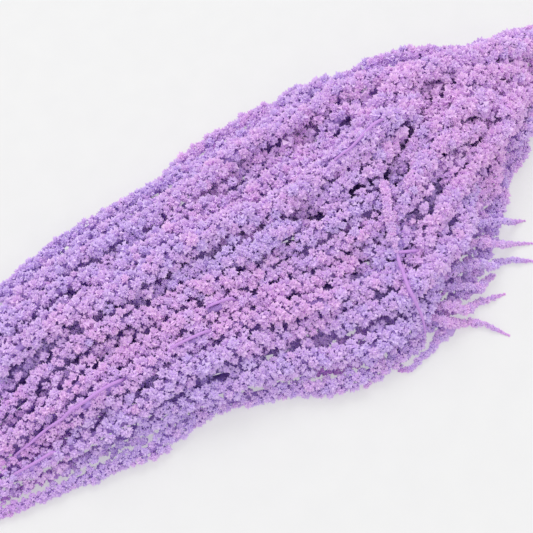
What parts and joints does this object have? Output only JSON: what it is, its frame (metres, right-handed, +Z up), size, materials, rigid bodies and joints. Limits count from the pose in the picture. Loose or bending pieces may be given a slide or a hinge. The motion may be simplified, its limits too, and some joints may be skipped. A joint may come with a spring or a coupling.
{
  "type": "hanging amaranth bunch",
  "caption": "Bunch of hanging amaranth lying on its side: limp lilac flower tassels covered in knobs of florets, on cut stems that an elastic band holds together, for display.",
  "frame": {"origin": "on the surface that the bunch lies on, under the middle of its box", "axes": "+X along the bunch towards the cut stem ends, +Z up from the surface"},
  "size_m": [0.6822, 0.2224, 0.057],
  "materials": {
    "florets": "matte, soft and granular, dyed lilac",
    "stem": "satin, finely ribbed along its length, dyed pink-mauve",
    "band": "satin natural latex"
  },
  "bodies": {
    "root": {"elastic_band": "band", "side_shoot": "florets", "side_tassel_1": "florets", "side_tassel_2": "florets", "side_tassel_3": "florets", "side_tassel_4": "florets", "side_tassel_5": "florets", "side_tassel_6": "florets", "side_tassel_7": "florets", "stem_1": "stem", "stem_2": "stem", "stem_3": "stem", "stem_4": "stem", "stem_5": "stem", "tassel_01": "florets", "tassel_02": "florets", "tassel_03": "florets", "tassel_04": "florets", "tassel_05": "florets", "tassel_06": "florets", "tassel_07": "florets", "tassel_08": "florets", "tassel_09": "florets", "tassel_10": "florets", "tassel_11": "florets", "tassel_12": "florets", "tassel_13": "florets", "tassel_14": "florets", "tassel_15": "florets", "tassel_16": "florets", "tassel_17": "florets", "tassel_18": "florets", "tassel_19": "florets", "tassel_20": "florets", "tassel_21": "florets", "tassel_22": "florets", "tassel_23": "florets", "tassel_24": "florets", "tassel_25": "florets", "tassel_26": "florets", "tassel_27": "florets", "tassel_28": "florets", "tassel_29": "florets", "tassel_30": "florets", "tassel_31": "florets", "tassel_32": "florets", "tassel_33": "florets", "tassel_34": "florets", "tassel_35": "florets", "tassel_36": "florets"}
  },
  "joints": []
}
